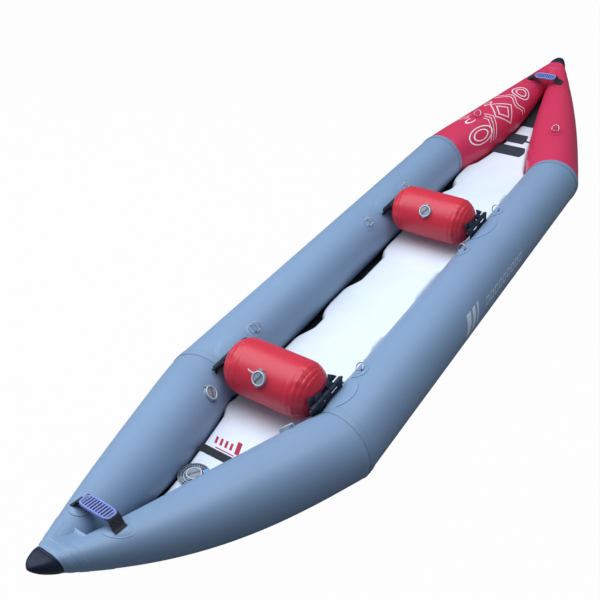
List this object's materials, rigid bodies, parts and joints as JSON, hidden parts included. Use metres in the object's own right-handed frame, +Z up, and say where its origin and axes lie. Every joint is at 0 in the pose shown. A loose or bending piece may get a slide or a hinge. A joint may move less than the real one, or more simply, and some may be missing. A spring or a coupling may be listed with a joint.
{
  "type": "inflatable kayak",
  "caption": "Open two-person inflatable kayak with upswept ends, self-draining floor, two air thwarts, D-rings, carry handles and capped valves.",
  "frame": {"origin": "on the ground, under the middle of the boat's length and beam", "axes": "+Y towards the bow (the red end), +X to starboard, +Z up"},
  "size_m": [0.8234, 3.75, 0.424],
  "materials": {
    "tube_grey": "satin coated fabric",
    "tube_red": "satin coated fabric",
    "tape_grey": "satin coated fabric tape",
    "patch_grey": "satin coated fabric",
    "floor_pale": "matt coated drop-stitch fabric",
    "hull_dark": "satin coated fabric",
    "wear_black": "matt rubber strip",
    "nose_black": "satin moulded rubber",
    "flap_navy": "matt coated fabric",
    "webbing_black": "woven nylon webbing",
    "rod_plastic": "extruded rod",
    "ring_steel": "polished stainless wire",
    "valve_grey": "moulded nylon",
    "valve_dark": "moulded nylon",
    "grip_grey": "matt moulded rubber",
    "collar_dark": "printed fabric ring"
  },
  "bodies": {
    "hull": {"port_tube_stern": "tube_grey", "port_tube_middle": "tube_grey", "port_tube_bow": "tube_red", "starboard_tube_stern": "tube_grey", "starboard_tube_middle": "tube_grey", "starboard_tube_bow": "tube_red", "stern_seam_tapes": "tape_grey", "bow_seam_tapes": "tube_red", "stern_nose_wrap": "tube_grey", "bow_nose_wrap": "tube_red", "stern_cone": "nose_black", "bow_cone": "nose_black", "hull_bottom": "hull_dark", "keel_strip": "wear_black", "tube_wear_strips": "wear_black", "floor_mat": "floor_pale", "stern_floor_strap": "webbing_black", "bow_floor_bands": "webbing_black", "floor_valve_collar": "collar_dark", "stern_thwart": "tube_red", "bow_thwart": "tube_red", "stern_thwart_flaps": "flap_navy", "bow_thwart_flaps": "flap_navy", "stern_thwart_sleeves": "flap_navy", "bow_thwart_sleeves": "flap_navy", "lacing_rods": "rod_plastic", "thwart_patches": "patch_grey", "grey_ring_mounts": "patch_grey", "red_ring_mounts": "tube_red", "stern_handle_webbing": "webbing_black", "bow_handle_webbing": "webbing_black", "stern_handle_patches": "patch_grey", "bow_handle_patches": "tube_red", "port_tube_valve_body": "valve_grey", "starboard_tube_valve_body": "valve_grey", "stern_thwart_valve_body": "valve_grey", "bow_thwart_valve_body": "valve_grey", "floor_valve_body": "valve_grey"},
    "port_stern_ring_body": {"port_stern_ring": "ring_steel"},
    "starboard_stern_ring_body": {"starboard_stern_ring": "ring_steel"},
    "starboard_thwart_ring_body": {"starboard_thwart_ring": "ring_steel"},
    "port_middle_ring_body": {"port_middle_ring": "ring_steel"},
    "starboard_middle_ring_body": {"starboard_middle_ring": "ring_steel"},
    "port_forward_ring_body": {"port_forward_ring": "ring_steel"},
    "starboard_forward_ring_body": {"starboard_forward_ring": "ring_steel"},
    "port_bow_ring_body": {"port_bow_ring": "ring_steel"},
    "starboard_bow_ring_body": {"starboard_bow_ring": "ring_steel"},
    "port_tube_valve_cap_body": {"port_tube_valve_cap": "valve_grey"},
    "port_tube_valve_plunger_body": {"port_tube_valve_plunger": "valve_dark"},
    "starboard_tube_valve_cap_body": {"starboard_tube_valve_cap": "valve_grey"},
    "starboard_tube_valve_plunger_body": {"starboard_tube_valve_plunger": "valve_dark"},
    "stern_thwart_valve_cap_body": {"stern_thwart_valve_cap": "valve_grey"},
    "stern_thwart_valve_plunger_body": {"stern_thwart_valve_plunger": "valve_dark"},
    "bow_thwart_valve_cap_body": {"bow_thwart_valve_cap": "valve_grey"},
    "bow_thwart_valve_plunger_body": {"bow_thwart_valve_plunger": "valve_dark"},
    "floor_valve_cap_body": {"floor_valve_cap": "valve_grey"},
    "floor_valve_plunger_body": {"floor_valve_plunger": "valve_dark"},
    "stern_handle_grip_body": {"stern_handle_grip": "grip_grey"},
    "bow_handle_grip_body": {"bow_handle_grip": "grip_grey"}
  },
  "joints": [
    {"name": "port_stern_ring_swing", "type": "hinge", "parent": "hull", "child": "port_stern_ring_body", "pos_m": [-0.22021, -0.717, 0.22992], "axis": [0.8387, 0, -0.5446], "range_deg": [-29, 135]},
    {"name": "starboard_stern_ring_swing", "type": "hinge", "parent": "hull", "child": "starboard_stern_ring_body", "pos_m": [0.22021, -0.717, 0.22992], "axis": [0.8387, 0, 0.5446], "range_deg": [-29, 135]},
    {"name": "starboard_thwart_ring_swing", "type": "hinge", "parent": "hull", "child": "starboard_thwart_ring_body", "pos_m": [0.17854, -0.766, 0.18523], "axis": [0.4848, 0, 0.8746], "range_deg": [-49, 60]},
    {"name": "port_middle_ring_swing", "type": "hinge", "parent": "hull", "child": "port_middle_ring_body", "pos_m": [-0.22021, 0.106, 0.22992], "axis": [0.8387, 0, -0.5446], "range_deg": [-29, 135]},
    {"name": "starboard_middle_ring_swing", "type": "hinge", "parent": "hull", "child": "starboard_middle_ring_body", "pos_m": [0.22021, 0.106, 0.22992], "axis": [0.8387, 0, 0.5446], "range_deg": [-54, 110]},
    {"name": "port_forward_ring_swing", "type": "hinge", "parent": "hull", "child": "port_forward_ring_body", "pos_m": [-0.22207, 0.452, 0.23111], "axis": [0.848, 0, -0.5299], "range_deg": [-29, 135]},
    {"name": "starboard_forward_ring_swing", "type": "hinge", "parent": "hull", "child": "starboard_forward_ring_body", "pos_m": [0.22207, 0.452, 0.23111], "axis": [0.848, 0, 0.5299], "range_deg": [-54, 110]},
    {"name": "port_bow_ring_swing", "type": "hinge", "parent": "hull", "child": "port_bow_ring_body", "pos_m": [-0.20609, 1.22827, 0.28567], "axis": [0.9987, 0, -0.0508], "range_deg": [-29, 135]},
    {"name": "starboard_bow_ring_swing", "type": "hinge", "parent": "hull", "child": "starboard_bow_ring_body", "pos_m": [0.20609, 1.22827, 0.28567], "axis": [0.9987, 0, 0.0508], "range_deg": [-29, 135]},
    {"name": "port_tube_valve_cap_hinge", "type": "hinge", "parent": "hull", "child": "port_tube_valve_cap_body", "pos_m": [-0.17038, -1.04601, 0.24165], "axis": [0.2421, -0.9487, 0.2035], "range_deg": [0, 150]},
    {"name": "port_tube_valve_plunger_slide", "type": "slide", "parent": "hull", "child": "port_tube_valve_plunger_body", "axis": [-0.7262, -0.3163, -0.6104], "range_m": [0, 0.0034], "stiffness_N_per_m": 1200},
    {"name": "starboard_tube_valve_cap_hinge", "type": "hinge", "parent": "hull", "child": "starboard_tube_valve_cap_body", "pos_m": [0.17038, -1.04601, 0.24165], "axis": [0.2421, 0.9487, -0.2035], "range_deg": [0, 150]},
    {"name": "starboard_tube_valve_plunger_slide", "type": "slide", "parent": "hull", "child": "starboard_tube_valve_plunger_body", "axis": [0.7262, -0.3163, -0.6104], "range_m": [0, 0.0034], "stiffness_N_per_m": 1200},
    {"name": "stern_thwart_valve_cap_hinge", "type": "hinge", "parent": "hull", "child": "stern_thwart_valve_cap_body", "pos_m": [0, -0.95744, 0.32113], "axis": [-1, 0, 0], "range_deg": [0, 150]},
    {"name": "stern_thwart_valve_plunger_slide", "type": "slide", "parent": "hull", "child": "stern_thwart_valve_plunger_body", "axis": [0, 0.7986, -0.6018], "range_m": [0, 0.0034], "stiffness_N_per_m": 1200},
    {"name": "bow_thwart_valve_cap_hinge", "type": "hinge", "parent": "hull", "child": "bow_thwart_valve_cap_body", "pos_m": [0, 0.22756, 0.32113], "axis": [-1, 0, 0], "range_deg": [0, 150]},
    {"name": "bow_thwart_valve_plunger_slide", "type": "slide", "parent": "hull", "child": "bow_thwart_valve_plunger_body", "axis": [0, 0.7986, -0.6018], "range_m": [0, 0.0034], "stiffness_N_per_m": 1200},
    {"name": "floor_valve_cap_hinge", "type": "hinge", "parent": "hull", "child": "floor_valve_cap_body", "pos_m": [-0.008, -1.28354, 0.17266], "axis": [-1, 0, 0], "range_deg": [0, 150]},
    {"name": "floor_valve_plunger_slide", "type": "slide", "parent": "hull", "child": "floor_valve_plunger_body", "axis": [0, -0.0937, -0.9956], "range_m": [0, 0.0034], "stiffness_N_per_m": 1200},
    {"name": "stern_handle_press", "type": "slide", "parent": "hull", "child": "stern_handle_grip_body", "axis": [0, 0, -1], "range_m": [0, 0.012], "stiffness_N_per_m": 300, "deforming": ["stern_handle_webbing"]},
    {"name": "bow_handle_press", "type": "slide", "parent": "hull", "child": "bow_handle_grip_body", "axis": [0, 0, -1], "range_m": [0, 0.012], "stiffness_N_per_m": 300, "deforming": ["bow_handle_webbing"]}
  ]
}
